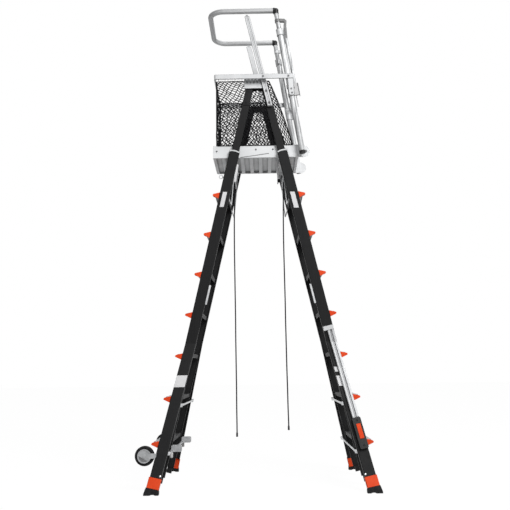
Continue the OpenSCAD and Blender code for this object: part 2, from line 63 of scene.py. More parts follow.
scene.camera = camera

# Studio
# A pale seamless floor in a white surround, a broad soft key lamp high on the right, a weak fill on the left.
# Gloss shows the same white surround that the camera sees.
surround_light, floor_glow, floor_glow_share = 0.16, 1.08, 0.9


def seen_directly(tree):
    ray = tree.nodes.new("ShaderNodeLightPath")
    seen = ray.outputs["Is Camera Ray"]
    for kind in ("Is Glossy Ray", "Is Transmission Ray"):
        either = tree.nodes.new("ShaderNodeMath")
        either.operation = "MAXIMUM"
        tree.links.new(seen, either.inputs[0])
        tree.links.new(ray.outputs[kind], either.inputs[1])
        seen = either.outputs[0]
    return seen


surround = bpy.data.worlds.new("studio_surround")
scene.world = surround
surround.use_nodes = True
tree = surround.node_tree
strength = tree.nodes.new("ShaderNodeMapRange")
strength.inputs["To Min"].default_value = surround_light
strength.inputs["To Max"].default_value = 1.0
tree.links.new(seen_directly(tree), strength.inputs["Value"])
tree.nodes["Background"].inputs["Color"].default_value = (1, 1, 1, 1)
tree.links.new(strength.outputs["Result"], tree.nodes["Background"].inputs["Strength"])

bpy.ops.mesh.primitive_plane_add(size=60)
floor = bpy.context.object
floor.name = "floor"
paper = bpy.data.materials.new("floor_paper")
paper.use_nodes = True
tree = paper.node_tree
tree.nodes["Principled BSDF"].inputs["Base Color"].default_value = (0.5, 0.5, 0.5, 1)
tree.nodes["Principled BSDF"].inputs["Roughness"].default_value = 0.9
white = tree.nodes.new("ShaderNodeEmission")
white.inputs["Strength"].default_value = floor_glow
share = tree.nodes.new("ShaderNodeMath")
share.operation = "MULTIPLY"
share.inputs[1].default_value = floor_glow_share
tree.links.new(seen_directly(tree), share.inputs[0])
blend = tree.nodes.new("ShaderNodeMixShader")
tree.links.new(share.outputs[0], blend.inputs["Fac"])
tree.links.new(tree.nodes["Principled BSDF"].outputs["BSDF"], blend.inputs[1])
tree.links.new(white.outputs["Emission"], blend.inputs[2])
tree.links.new(blend.outputs["Shader"], tree.nodes["Material Output"].inputs["Surface"])
floor.data.materials.append(paper)
lamp_aim = Vector((0, 0, 1.9))
for name, place, size, power in (
        ("key_lamp", (4.4, -7.8, 8.0), 4.4, 930),
        ("fill_lamp", (-4.2, -4.0, 1.2), 3.0, 12)):
    bpy.ops.object.light_add(type="AREA", location=place)
    lamp = bpy.context.object
    lamp.name = name
    lamp.data.size = size
    lamp.data.energy = power
    lamp.rotation_euler = (lamp_aim - Vector(place)).to_track_quat("-Z", "Y").to_euler()

# Pull cords
# Two thin braided lock cords, tied to the bars under the deck and left to hang free between the legs.
# Each ends in a crimped black sleeve, and the braid shows as a fine diagonal twill.
apex_x, datum_z = 0.0365, -0.027
cord_radius = 0.00475
crimp_radius, crimp_length, crimp_drop, crimp_edge = 0.0072, 0.030, 0.011, 0.0016
right_route = [
    (0.190, 0.000, 2.281), (0.190, 0.000, 2.240), (0.187, 0.001, 2.120), (0.185, 0.002, 1.990),
    (0.184, 0.002, 1.860), (0.184, 0.001, 1.730), (0.185, 0.000, 1.600), (0.186, -0.001, 1.470),
    (0.187, -0.002, 1.340), (0.187, -0.002, 1.210), (0.188, -0.001, 1.080), (0.189, 0.000, 0.950),
    (0.190, 0.001, 0.820), (0.192, 0.001, 0.690), (0.193, 0.001, 0.560), (0.195, 0.000, 0.460),
    (0.195, 0.000, 0.416)]
left_route = [
    (-0.190, 0.000, 2.291), (-0.190, 0.000, 2.250), (-0.194, -0.001, 2.120), (-0.196, -0.002, 1.990),
    (-0.197, -0.002, 1.860), (-0.197, -0.001, 1.730), (-0.196, 0.000, 1.600), (-0.195, 0.001, 1.470),
    (-0.194, 0.002, 1.340), (-0.193, 0.002, 1.210), (-0.193, 0.001, 1.080), (-0.192, 0.000, 0.950),
    (-0.191, -0.001, 0.820), (-0.190, -0.001, 0.690), (-0.190, -0.001, 0.560), (-0.189, 0.000, 0.420),
    (-0.189, 0.000, 0.372)]


def new_finish(name, colour, roughness, metallic=0.0, gloss=0.5):
    finish = bpy.data.materials.new(name)
    finish.use_nodes = True
    shader = finish.node_tree.nodes["Principled BSDF"]
    shader.inputs["Base Color"].default_value = (*colour, 1)
    shader.inputs["Roughness"].default_value = roughness
    shader.inputs["Metallic"].default_value = metallic
    shader.inputs["Specular IOR Level"].default_value = gloss
    return finish


def pattern(finish, scale, stretch=(1, 1, 1), turn=(0, 0, 0), detail=4.0):
    tree = finish.node_tree
    place = tree.nodes.new("ShaderNodeTexCoord")
    mapping = tree.nodes.new("ShaderNodeMapping")
    mapping.inputs["Rotation"].default_value = turn
    mapping.inputs["Scale"].default_value = stretch
    grain = tree.nodes.new("ShaderNodeTexNoise")
    grain.inputs["Scale"].default_value = scale
    grain.inputs["Detail"].default_value = detail
    tree.links.new(place.outputs["Object"], mapping.inputs["Vector"])
    tree.links.new(mapping.outputs["Vector"], grain.inputs["Vector"])
    return grain.outputs["Fac"]


def tint(finish, value, dark, light):
    tree = finish.node_tree
    ramp = tree.nodes.new("ShaderNodeValToRGB")
    for stop, position, colour in zip(ramp.color_ramp.elements, (0.35, 0.65), (dark, light)):
        stop.position = position
        stop.color = (*colour, 1)
    tree.links.new(value, ramp.inputs["Fac"])
    tree.links.new(ramp.outputs["Color"], tree.nodes["Principled BSDF"].inputs["Base Color"])
    return ramp.outputs["Color"]


def wear(finish, value, smooth, rough):
    tree = finish.node_tree
    spread = tree.nodes.new("ShaderNodeMapRange")
    spread.inputs["From Min"].default_value = 0.3
    spread.inputs["From Max"].default_value = 0.7
    spread.inputs["To Min"].default_value = smooth
    spread.inputs["To Max"].default_value = rough
    tree.links.new(value, spread.inputs["Value"])
    tree.links.new(spread.outputs["Result"], tree.nodes["Principled BSDF"].inputs["Roughness"])


def relief(finish, value, depth, edge=0.0):
    tree = finish.node_tree
    bump = tree.nodes.new("ShaderNodeBump")
    bump.inputs["Strength"].default_value = 1.0
    bump.inputs["Distance"].default_value = depth
    tree.links.new(value, bump.inputs["Height"])
    if edge:
        soft = tree.nodes.new("ShaderNodeBevel")
        soft.samples = 4
        soft.inputs["Radius"].default_value = edge
        tree.links.new(soft.outputs["Normal"], bump.inputs["Normal"])
    tree.links.new(bump.outputs["Normal"], tree.nodes["Principled BSDF"].inputs["Normal"])


braid = new_finish("cord_braid", (0.012, 0.012, 0.013), 0.85, gloss=0.1)
tree = braid.node_tree
place = tree.nodes.new("ShaderNodeTexCoord")
twill = tree.nodes.new("ShaderNodeTexWave")
twill.inputs["Scale"].default_value = 160
twill.inputs["Distortion"].default_value = 1.5
twill.bands_direction = "DIAGONAL"
tree.links.new(place.outputs["Object"], twill.inputs["Vector"])
tint(braid, twill.outputs["Fac"], (0.006, 0.006, 0.007), (0.02, 0.02, 0.022))
relief(braid, twill.outputs["Fac"], 0.0003)
sleeve = new_finish("cord_sleeve", (0.012, 0.012, 0.013), 0.5, gloss=0.3)
tint(sleeve, pattern(sleeve, 220), (0.01, 0.01, 0.011), (0.03, 0.03, 0.032))
relief(sleeve, pattern(sleeve, 500), 0.0003)


def smooth_route(points, steps):
    line = []
    for i in range(len(points) - 1):
        a, b, c, d = (Vector(points[k]) for k in (max(i - 1, 0), i, i + 1, min(i + 2, len(points) - 1)))
        for j in range(steps):
            t = j / steps
            bend = a - 2.5 * b + 2 * c - d / 2 + t * (1.5 * (b - c) + (d - a) / 2)
            line.append(b + t * ((c - a) / 2 + t * bend))
    return line + [Vector(points[-1])]


def pick(piece):
    bpy.ops.object.select_all(action="DESELECT")
    piece.select_set(True)
    bpy.context.view_layer.objects.active = piece


def round_line(name, points, radius, facets, closed=False):
    curve = bpy.data.curves.new(name + "_line", "CURVE")
    curve.dimensions = "3D"
    curve.bevel_depth = radius
    curve.bevel_resolution = facets
    curve.use_fill_caps = True
    spline = curve.splines.new("POLY")
    spline.points.add(len(points) - 1)
    spline.use_cyclic_u = closed
    for point, p in zip(spline.points, points):
        point.co = (*p, 1)
    line = bpy.data.objects.new(name, curve)
    scene.collection.objects.link(line)
    pick(line)
    bpy.ops.object.convert(target="MESH")
    bpy.ops.object.shade_smooth()
    return bpy.context.object


for name, route, body in (("cord_right", right_route, "front"), ("cord_left", left_route, "rear")):
    line = [p + Vector((apex_x, 0, datum_z)) for p in smooth_route(route, 4)]
    cord = round_line(name + "_braid", line, cord_radius, 3)
    cord.data.materials.append(braid)
    bpy.ops.object.select_all(action="DESELECT")
    crimp_place = line[-1] - Vector((0, 0, crimp_drop))
    bpy.ops.mesh.primitive_cylinder_add(vertices=24, radius=crimp_radius, depth=crimp_length,
                                        location=crimp_place)
    crimp = bpy.context.object
    crimp.name = name + "_crimp"
    bpy.ops.object.mode_set(mode="EDIT")
    bpy.ops.mesh.select_all(action="SELECT")
    bpy.ops.mesh.bevel(offset=crimp_edge, segments=3, affect="EDGES", clamp_overlap=True)
    bpy.ops.object.mode_set(mode="OBJECT")
    bpy.ops.object.transform_apply()
    crimp.data.materials.append(sleeve)
    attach(cord, body)
    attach(crimp, body)
    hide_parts(name)
    for piece in (cord, crimp):
        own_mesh(piece)

# Guard nets
# Three panels of knotted black cord laced inside the guard, between the middle rail and the kick boards.
# The diamond mesh is pulled askew and gathered towards the gate, and a heavier cord runs round its edge.
net_low, net_high = 2.489, 2.998
knotted = new_finish("net_cord", (0.01, 0.01, 0.011), 0.85, gloss=0.1)
tint(knotted, pattern(knotted, 350), (0.005, 0.005, 0.006), (0.018, 0.018, 0.02))
relief(knotted, pattern(knotted, 900, detail=2.0), 0.0006)


def net_panel(name, run0, run1, run_top, cell, strand, skew, gather, seed):
    count, edge_hold, wave, slack, fine_slack, rise = 56, 9, 14, 0.014, 0.006, 0.06
    noise.seed_set(seed)
    bpy.ops.object.select_all(action="DESELECT")
    bpy.ops.mesh.primitive_grid_add(x_subdivisions=count, y_subdivisions=count, size=1.0)
    net = bpy.context.object
    net.name = name
    step = math.sqrt(2) / count
    pull = Matrix.Identity(4)
    pull[0][1] = -skew
    middle = Matrix.Translation(((run0 + run1) / 2, (net_low + net_high) / 2, 0))
    mesh_size = Matrix.Diagonal((cell[0] / step, cell[1] / step, 1, 1))
    net.data.transform(middle @ pull @ mesh_size @ Matrix.Rotation(math.radians(45), 4, "Z"))
    for v in net.data.vertices:
        v.co.x += gather * (run1 - run0) / math.pi * math.sin(math.pi * (v.co.x - run0) / (run1 - run0))
    lean_in = (run_top - run1) / (net_high - net_low)
    edges = [((run0, 0), (-1, 0)), ((0, net_low), (0, -1)), ((0, net_high), (0, 1)),
             ((run1, net_low), (1, -lean_in))]
    for point, out in edges:
        bpy.ops.object.mode_set(mode="EDIT")
        bpy.ops.mesh.select_all(action="SELECT")
        bpy.ops.mesh.bisect(plane_co=(*point, 0), plane_no=(*out, 0), clear_outer=True)
        bpy.ops.object.mode_set(mode="OBJECT")
    weight = net.vertex_groups.new(name="cord_weight")
    for v in net.data.vertices:
        w = (v.co.y - net_low) / (net_high - net_low)
        side = run1 + (run_top - run1) * w
        u = (v.co.x - run0) / (side - run0)
        free = max(0, min(1, edge_hold * min(w, 1 - w, u, 1 - u)))
        rough = Vector((v.co.x * wave, v.co.y * wave, seed))
        weight.add([v.index], 0.5 + 0.5 * noise.noise(rough * 4), "REPLACE")
        v.co.y += rise * (net_high - net_low) * math.sin(math.pi * w)
        v.co += free * (slack * noise.noise_vector(rough) + fine_slack * noise.noise_vector(rough * 3))
    mod = net.modifiers.new("strands", "WIREFRAME")
    mod.thickness = strand
    mod.vertex_group = weight.name
    mod.thickness_vertex_group = 0.5
    mod.use_boundary = True
    mod.use_even_offset = False
    bpy.ops.object.modifier_apply(modifier=mod.name)
    return net


def hang(piece, place, finish):
    piece.data.transform(place)
    pick(piece)
    bpy.ops.object.mode_set(mode="EDIT")
    bpy.ops.mesh.select_all(action="SELECT")
    bpy.ops.mesh.normals_make_consistent(inside=False)
    bpy.ops.object.mode_set(mode="OBJECT")
    bpy.ops.object.shade_smooth()
    piece.data.materials.append(finish)
    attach(piece, "front")
    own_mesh(piece)


def along_side(y):
    return Matrix(((1, 0, 0, apex_x), (0, 0, -1, y), (0, 1, 0, 0), (0, 0, 0, 1)))


def along_end(x):
    return Matrix(((0, 0, 1, x + apex_x), (1, 0, 0, 0), (0, 1, 0, 0), (0, 0, 0, 1)))


fine, coarse = (0.026, 0.034), (0.07, 0.09)
border_radius, lace_radius = 0.0028, 0.0023
for name, node, run0, run1, top, place, cell, strand, skew, gather, seed in (
        ("near_net", "net_near", -0.312, 0.260, 0.088, along_side(-0.228), fine, 0.0125, 0.4, 0.36, 3),
        ("far_net", "net_far", -0.312, 0.260, 0.088, along_side(0.228), fine, 0.0115, -0.3, 0.3, 8),
        ("end_net", "net_end", -0.224, 0.224, 0.224, along_end(-0.3166), coarse, 0.006, 0.1, 0.0, 5)):
    net = net_panel(name, run0, run1, top, cell, strand, skew, gather, seed)
    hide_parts(node)
    hang(net, place, knotted)
    corners = [(run0, net_low, 0), (run1, net_low, 0), (top, net_high, 0), (run0, net_high, 0)]
    border = round_line(name + "_border", corners, border_radius, 2, closed=True)
    hang(border, place, knotted)
lace_low, lace_high, lace_pitch, lace_start, lace_turns, lace_y = 2.966, 3.009, 0.013, -0.300, 27, 0.2675
for side, y in (("near", -lace_y), ("far", lace_y)):
    zigzag = [(lace_start + k * lace_pitch, lace_low if k % 2 else lace_high, 0) for k in range(lace_turns)]
    hang(round_line("net_lacing_" + side, zigzag, lace_radius, 2), along_side(y), knotted)

# Glass-fibre rails
# Black pultruded channels: the wide outer rails with their flared legs, and the inner rails that slide in.
# The resin shows long fibre streaks down the rail and a satin, lightly scuffed skin.
lean = 0.23
rail_lean = math.atan(lean)


def dress(finish, *members):
    for member in members:
        nodes[member].data.materials.clear()
        nodes[member].data.materials.append(finish)


for name, members, turn in (
        ("rail_fibre_climbing", ("front_rails", "front_legs", "front_fly_rails"), rail_lean),
        ("rail_fibre_roller", ("rear_rails", "rear_legs", "rear_fly_rails"), -rail_lean)):
    fibre = new_finish(name, (0.012, 0.012, 0.0125), 0.5, gloss=0.14)
    streaks = pattern(fibre, 3.0, stretch=(60, 60, 1.2), turn=(0, turn, 0), detail=6.0)
    tint(fibre, streaks, (0.0105, 0.0105, 0.011), (0.0145, 0.0145, 0.015))
    wear(fibre, pattern(fibre, 14), 0.42, 0.62)
    relief(fibre, pattern(fibre, 40.0, stretch=(12, 12, 1), turn=(0, turn, 0)), 0.0004, edge=0.0015)
    dress(fibre, *members)

# Bright aluminium
# Mill-finish extrusions and bent tube: guard posts, loop, middle rail, gate, kick boards, treads and tracks.
# Tubes show die lines along their length, dark enough to serve as painted reflection lines; painted shade
# darkens the edges of flat bars and the corners of bars, tubes and deck, and the treads have grip ridges.


# Painted shade: an ambient-occlusion mask darkens the colour in corners, creases and recesses, where shade
# falls.
def paint_corner_shade(finish, colour, reach, shade_colour):
    tree = finish.node_tree
    corner = tree.nodes.new("ShaderNodeAmbientOcclusion")
    corner.samples = 8
    corner.inputs["Distance"].default_value = reach
    blend = tree.nodes.new("ShaderNodeMix")
    blend.data_type = "RGBA"
    blend.inputs["A"].default_value = (*shade_colour, 1)
    tree.links.new(corner.outputs["AO"], blend.inputs["Factor"])
    tree.links.new(colour, blend.inputs["B"])
    tree.links.new(blend.outputs["Result"], tree.nodes["Principled BSDF"].inputs["Base Color"])
    return blend.outputs["Result"]


# Painted shade: a bevel mask darkens the colour along every edge, standing in for the shaded side faces.
def paint_edge_shade(finish, colour, reach, edge_shade):
    tree = finish.node_tree
    soft = tree.nodes.new("ShaderNodeBevel")
    soft.samples = 8
    soft.inputs["Radius"].default_value = reach
    flat = tree.nodes.new("ShaderNodeNewGeometry")
    meet = tree.nodes.new("ShaderNodeVectorMath")
    meet.operation = "DOT_PRODUCT"
    tree.links.new(soft.outputs["Normal"], meet.inputs[0])
    tree.links.new(flat.outputs["Normal"], meet.inputs[1])
    spread = tree.nodes.new("ShaderNodeMapRange")
    spread.inputs["From Min"].default_value = 0.8
    spread.inputs["From Max"].default_value = 0.99
    tree.links.new(meet.outputs["Value"], spread.inputs["Value"])
    blend = tree.nodes.new("ShaderNodeMix")
    blend.data_type = "RGBA"
    blend.inputs["A"].default_value = (*edge_shade, 1)
    tree.links.new(spread.outputs["Result"], blend.inputs["Factor"])
    tree.links.new(colour, blend.inputs["B"])
    tree.links.new(blend.outputs["Result"], tree.nodes["Principled BSDF"].inputs["Base Color"])


drawn = new_finish("drawn_aluminium", (0.76, 0.77, 0.78), 0.4, 0.08, gloss=0.2)
ramp = tint(drawn, pattern(drawn, 9), (0.7, 0.71, 0.72), (0.8, 0.81, 0.82))
# Painted shade darkens the edges and corners of the posts and bars.
paint_edge_shade(drawn, paint_corner_shade(drawn, ramp, 0.012, (0.1, 0.1, 0.105)), 0.006, (0.12, 0.12, 0.125))
wear(drawn, pattern(drawn, 30, stretch=(1, 1, 6)), 0.32, 0.48)
relief(drawn, pattern(drawn, 120, stretch=(4, 4, 0.2)), 0.00012, edge=0.001)
grip = new_finish("tread_aluminium", (0.6, 0.61, 0.62), 0.42, 0.25)
tint(grip, pattern(grip, 12), (0.52, 0.53, 0.54), (0.66, 0.67, 0.68))
wear(grip, pattern(grip, 50), 0.35, 0.55)
tree = grip.node_tree
place = tree.nodes.new("ShaderNodeTexCoord")
ridges = tree.nodes.new("ShaderNodeTexWave")
ridges.inputs["Scale"].default_value = 52
tree.links.new(place.outputs["Object"], ridges.inputs["Vector"])
relief(grip, ridges.outputs["Fac"], 0.0008, edge=0.001)
sheet_metal = new_finish("kick_board_sheet", (0.8, 0.81, 0.82), 0.5, 0.12)
tint(sheet_metal, pattern(sheet_metal, 5), (0.74, 0.75, 0.76), (0.84, 0.85, 0.86))
wear(sheet_metal, pattern(sheet_metal, 18), 0.38, 0.55)
relief(sheet_metal, pattern(sheet_metal, 160, stretch=(0.3, 1, 1)), 0.00012, edge=0.001)
post_lean = math.atan(0.159)
tube_skin = new_finish("drawn_tube", (0.7, 0.71, 0.72), 0.42, 0.1)
# Die lines and painted reflection: lengthwise streaks, made dark enough to stand in for a bright tube's
# reflection lines.
die_lines_and_reflection = pattern(tube_skin, 60, stretch=(1, 1, 0.02), turn=(0, post_lean, 0), detail=2.0)
ramp = tint(tube_skin, die_lines_and_reflection, (0.3, 0.305, 0.31), (0.86, 0.87, 0.88))
# Painted shade darkens the tubes where they meet other parts.
paint_corner_shade(tube_skin, ramp, 0.012, (0.1, 0.1, 0.105))
wear(tube_skin, pattern(tube_skin, 40), 0.36, 0.5)
relief(tube_skin, pattern(tube_skin, 200, stretch=(1, 1, 0.1)), 0.0001, edge=0.0015)
polished = new_finish("polished_tube", (0.54, 0.55, 0.56), 0.5, 0.1)
# Polish lines and painted reflection: light and dark bands that change with height only, so they run along
# the loop like its reflections.
polish_lines_and_reflection = pattern(polished, 75, stretch=(0.01, 0.01, 1), detail=2.0)
tint(polished, polish_lines_and_reflection, (0.38, 0.385, 0.39), (0.82, 0.83, 0.84))
wear(polished, pattern(polished, 40), 0.46, 0.56)
relief(polished, pattern(polished, 200, stretch=(0.1, 1, 1)), 0.0001)
ribbed = new_finish("deck_sheet", (0.8, 0.81, 0.82), 0.5, 0.1)
ramp = tint(ribbed, pattern(ribbed, 7), (0.78, 0.79, 0.8), (0.86, 0.87, 0.88))
# Painted shade darkens the deck's pressed recesses and its corners.
paint_corner_shade(ribbed, ramp, 0.04, (0.06, 0.06, 0.062))
wear(ribbed, pattern(ribbed, 20), 0.4, 0.6)
relief(ribbed, pattern(ribbed, 150, stretch=(1, 0.3, 1)), 0.00012, edge=0.001)
dress(tube_skin, "end_posts", "gate_frame")
dress(drawn, "mid_posts", "gussets", "post_collars", "mid_rail", "level_tracks", "front_collars",
      "rear_collars", "rest_bar", "deck_hangers", "gate_keepers")
dress(grip, "front_treads", "rear_treads")
dress(sheet_metal, "toe_boards", "post_brackets")
dress(ribbed, "deck_panel")
dress(polished, "top_loop")

# Plated steel
# Zinc-plated cross rods, dark bolts on the guard, and pressed gate straps.
# The straps are coated dark grey at the upper hinge and left lighter at the lower bracket.
strap_change_low, strap_change_high, strap_light, strap_dark = 3.1, 3.2, 0.6, 0.22
plated = new_finish("zinc_plate", (0.55, 0.56, 0.57), 0.38, 0.9)
tint(plated, pattern(plated, 25), (0.46, 0.47, 0.48), (0.64, 0.65, 0.66))
wear(plated, pattern(plated, 60), 0.3, 0.48)
relief(plated, pattern(plated, 300), 0.0001, edge=0.0008)
coated = new_finish("grey_coat", (0.3, 0.3, 0.305), 0.5, 0.1)
ramp = tint(coated, pattern(coated, 30), (0.84, 0.84, 0.845), (1.0, 1.0, 1.0))
tree = coated.node_tree
place = tree.nodes.new("ShaderNodeTexCoord")
height = tree.nodes.new("ShaderNodeSeparateXYZ")
tree.links.new(place.outputs["Object"], height.inputs[0])
upper = tree.nodes.new("ShaderNodeMapRange")
upper.inputs["From Min"].default_value = strap_change_low
upper.inputs["From Max"].default_value = strap_change_high
upper.inputs["To Min"].default_value = strap_light
upper.inputs["To Max"].default_value = strap_dark
tree.links.new(height.outputs["Z"], upper.inputs["Value"])
coat = tree.nodes.new("ShaderNodeVectorMath")
coat.operation = "SCALE"
tree.links.new(ramp, coat.inputs[0])
tree.links.new(upper.outputs["Result"], coat.inputs["Scale"])
tree.links.new(coat.outputs["Vector"], tree.nodes["Principled BSDF"].inputs["Base Color"])
wear(coated, pattern(coated, 50), 0.4, 0.6)
relief(coated, pattern(coated, 260), 0.0002, edge=0.001)
fastener = new_finish("dark_fastener", (0.12, 0.12, 0.125), 0.45, 0.3)
tint(fastener, pattern(fastener, 90), (0.09, 0.09, 0.095), (0.16, 0.16, 0.165))
wear(fastener, pattern(fastener, 140), 0.35, 0.55)
relief(fastener, pattern(fastener, 500), 0.0001, edge=0.0006)
dress(plated, "front_rods", "rear_rods")
dress(fastener, "guard_bolts")
dress(coated, "gate_straps")

# Black hinges and fittings
# Black-coated hinge plates with cast texture, and moulded black elbows, plugs and leveler housings.
cast = new_finish("hinge_coat", (0.014, 0.014, 0.015), 0.6, gloss=0.15)
tint(cast, pattern(cast, 20), (0.009, 0.009, 0.01), (0.018, 0.018, 0.019))
wear(cast, pattern(cast, 45), 0.45, 0.65)
relief(cast, pattern(cast, 350), 0.0003, edge=0.002)
moulded = new_finish("moulded_black", (0.009, 0.009, 0.0095), 0.42, gloss=0.25)
tint(moulded, pattern(moulded, 40), (0.007, 0.007, 0.0075), (0.012, 0.012, 0.0125))
wear(moulded, pattern(moulded, 60), 0.34, 0.52)
relief(moulded, pattern(moulded, 500), 0.0002, edge=0.0015)
dress(cast, "front_hinge", "rear_hinge", "front_fly_treads", "rear_fly_treads", "level_leg_near",
      "level_leg_far")
dress(moulded, "loop_caps", "post_plugs", "level_housings")

# Orange mouldings
# Bright orange step caps, shoes and leveler buttons, injection moulded with a fine spark-eroded grain.
orange = new_finish("orange_moulding", (0.94, 0.08, 0.014), 0.55, gloss=0.25)
tint(orange, pattern(orange, 18), (0.91, 0.072, 0.012), (0.97, 0.092, 0.018))
wear(orange, pattern(orange, 50), 0.4, 0.6)
relief(orange, pattern(orange, 700), 0.0002, edge=0.002)
dress(orange, "front_caps", "rear_caps", "rear_shoes", "level_shoe_near", "level_shoe_far", "button_near",
      "button_far")

# Rubber feet and tyres
# Black rubber pads under the shoes and solid black tyres, dull, with dusty scuffs.
rubber = new_finish("foot_rubber", (0.012, 0.012, 0.013), 0.8, gloss=0.2)
tint(rubber, pattern(rubber, 35), (0.008, 0.008, 0.009), (0.02, 0.02, 0.021))
wear(rubber, pattern(rubber, 80), 0.65, 0.9)
relief(rubber, pattern(rubber, 400), 0.0005, edge=0.002)
dress(rubber, "rear_pads", "level_pad_near", "level_pad_far", "tyre_near", "tyre_far")

# Grey mouldings
# Mid-grey nylon wheel discs, hubs and foot pedals with a soft sheen.
nylon = new_finish("grey_nylon", (0.49, 0.5, 0.51), 0.5)
tint(nylon, pattern(nylon, 28), (0.42, 0.43, 0.44), (0.56, 0.57, 0.58))
wear(nylon, pattern(nylon, 60), 0.4, 0.6)
relief(nylon, pattern(nylon, 500), 0.0002, edge=0.0015)
dress(nylon, "wheel_brackets", "hub_near", "hub_far", "pedal_near", "pedal_far")

# Kick board screws and painted crease shadow
# Dark drive screws that hold the kick boards to the deck's edge, and a thin dark grey strip laid along the
# near kick board's crease as its painted shadow line.
# One turned head is drawn in and raised from a disc, then copied to each place.
crease = math.radians(50)


def spot(x, y, z):
    return Vector((x + apex_x, y, z + datum_z))


def pick_faces(piece, test):
    bpy.ops.object.mode_set(mode="EDIT")
    bpy.ops.mesh.select_mode(type="FACE")
    bpy.ops.mesh.select_all(action="DESELECT")
    bpy.ops.object.mode_set(mode="OBJECT")
    for face in piece.data.polygons:
        face.select = test(face.center, face.normal)
    bpy.ops.object.mode_set(mode="EDIT")


def round_head(name, radius, height, drive):
    bpy.ops.object.select_all(action="DESELECT")
    bpy.ops.mesh.primitive_cylinder_add(vertices=24, radius=radius, depth=height, location=(0, 0, height / 2))
    head = bpy.context.object
    head.name = name
    bpy.ops.object.transform_apply()
    pick_faces(head, lambda centre, normal: normal.z > 0.9)
    bpy.ops.mesh.inset(thickness=radius * 0.35, depth=height * 0.45)
    bpy.ops.mesh.inset(thickness=radius * 0.25, depth=-height * 0.5 if drive else height * 0.12)
    bpy.ops.object.mode_set(mode="OBJECT")
    bpy.ops.object.shade_smooth_by_angle(angle=crease)
    return head


def put(master, name, point, out, body, finish):
    piece = master.copy()
    piece.data = master.data.copy()
    piece.name = name
    scene.collection.objects.link(piece)
    piece.data.transform(Matrix.Translation(point) @ out.to_track_quat("Z", "Y").to_matrix().to_4x4())
    piece.data.materials.clear()
    piece.data.materials.append(finish)
    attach(piece, body)


near, far = Vector((0, -1, 0)), Vector((0, 1, 0))
screw_radius, screw_height, board_y, board_end_x = 0.0062, 0.0028, 0.225, -0.343
screw = round_head("screw_master", screw_radius, screw_height, drive=True)
for side, out in (("near", near), ("far", far)):
    for k, (x, z) in enumerate(((-0.315, 2.472), (-0.018, 2.482), (0.110, 2.482))):
        put(screw, f"board_screw_{side}_{k}", spot(x, out.y * board_y, z), out, "deck", fastener)
for k, y in enumerate((-0.15, 0.15)):
    point = spot(board_end_x, y, 2.476)
    put(screw, f"board_screw_end_{k}", point, Vector((-1, 0, 0)), "deck", fastener)


def flat_bar(name, start, end, width, y, thickness):
    run = Vector((end[0] - start[0], 0, end[1] - start[1]))
    bpy.ops.object.select_all(action="DESELECT")
    bpy.ops.mesh.primitive_cube_add(size=1.0)
    bar = bpy.context.object
    bar.name = name
    bar.data.transform(Matrix.Diagonal((run.length + width, thickness, width, 1)))
    bpy.ops.object.mode_set(mode="EDIT")
    bpy.ops.mesh.select_mode(type="EDGE")
    bpy.ops.mesh.select_all(action="DESELECT")
    bpy.ops.object.mode_set(mode="OBJECT")
    for edge in bar.data.edges:
        a, b = (bar.data.vertices[k].co for k in edge.vertices)
        edge.select = abs(a.y - b.y) > thickness / 2
    bpy.ops.object.mode_set(mode="EDIT")
    bpy.ops.mesh.bevel(offset=width * 0.48, segments=5, affect="EDGES")
    bpy.ops.object.mode_set(mode="OBJECT")
    bpy.ops.object.shade_smooth_by_angle(angle=crease)
    middle = Vector(((start[0] + end[0]) / 2, y, (start[1] + end[1]) / 2))
    bar.data.transform(Matrix.Translation(middle) @ Matrix.Rotation(-math.atan2(run.z, run.x), 4, "Y"))
    return bar


# Painted shadow: this dark grey strip stands where the crease in the kick board throws a thin shadow line.
crease_shadow_finish = new_finish("crease_shadow_paint", (0.2, 0.2, 0.205), 0.7)
tint(crease_shadow_finish, pattern(crease_shadow_finish, 60), (0.16, 0.16, 0.165), (0.26, 0.26, 0.265))
relief(crease_shadow_finish, pattern(crease_shadow_finish, 240), 0.0003)
crease_shadow_width, crease_shadow_y, crease_shadow_thickness = 0.005, -board_y - 0.0004, 0.0012
crease_shadow = flat_bar("board_crease_shadow", (-0.134, 2.4215), (0.078, 2.450), crease_shadow_width, crease_shadow_y, crease_shadow_thickness)
crease_shadow.data.transform(Matrix.Translation(spot(0, 0, 0)))
crease_shadow.data.materials.append(crease_shadow_finish)
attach(crease_shadow, "deck")

# Deck tray
# The standing deck is a folded aluminium tray with wide recesses pressed in its underside.
# Its climbing end stops short of the side plates, so the far plate's round end shows past it.
tray_end = 0.300
tray = bpy.data.objects.new("deck_tray", nodes["deck_panel"].data.copy())
scene.collection.objects.link(tray)
pick(tray)
bpy.ops.object.mode_set(mode="EDIT")
bpy.ops.mesh.select_all(action="SELECT")
bpy.ops.mesh.remove_doubles(threshold=0.00002)
bpy.ops.mesh.bisect(plane_co=(tray_end + apex_x, 0, 0), plane_no=(1, 0, 0), use_fill=True, clear_outer=True)
bpy.ops.object.mode_set(mode="OBJECT")
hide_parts("deck_panel")
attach(tray, "deck")

# Feet rivets and leveler screws
# A steel rivet through each leg above its shoe, and two drive screws down the face of each leveler housing.
# They sit square to the flared leg, so each is placed in the leg's own frame.
rivet_radius, rivet_height = 0.0065, 0.003
rivet = round_head("rivet_master", rivet_radius, rivet_height, drive=False)
flare, flare_z = 0.3, 1.030
rail_foot_x, rail_face_y = 0.7455, 0.257
leg_length = math.sqrt(1 + lean ** 2 + flare ** 2)
flare_tilt = math.atan(flare)
leg_tilt = -math.atan(lean * math.cos(flare_tilt))
leg_turn = Matrix.Rotation(flare_tilt, 3, "X") @ Matrix.Rotation(leg_tilt, 3, "Y")


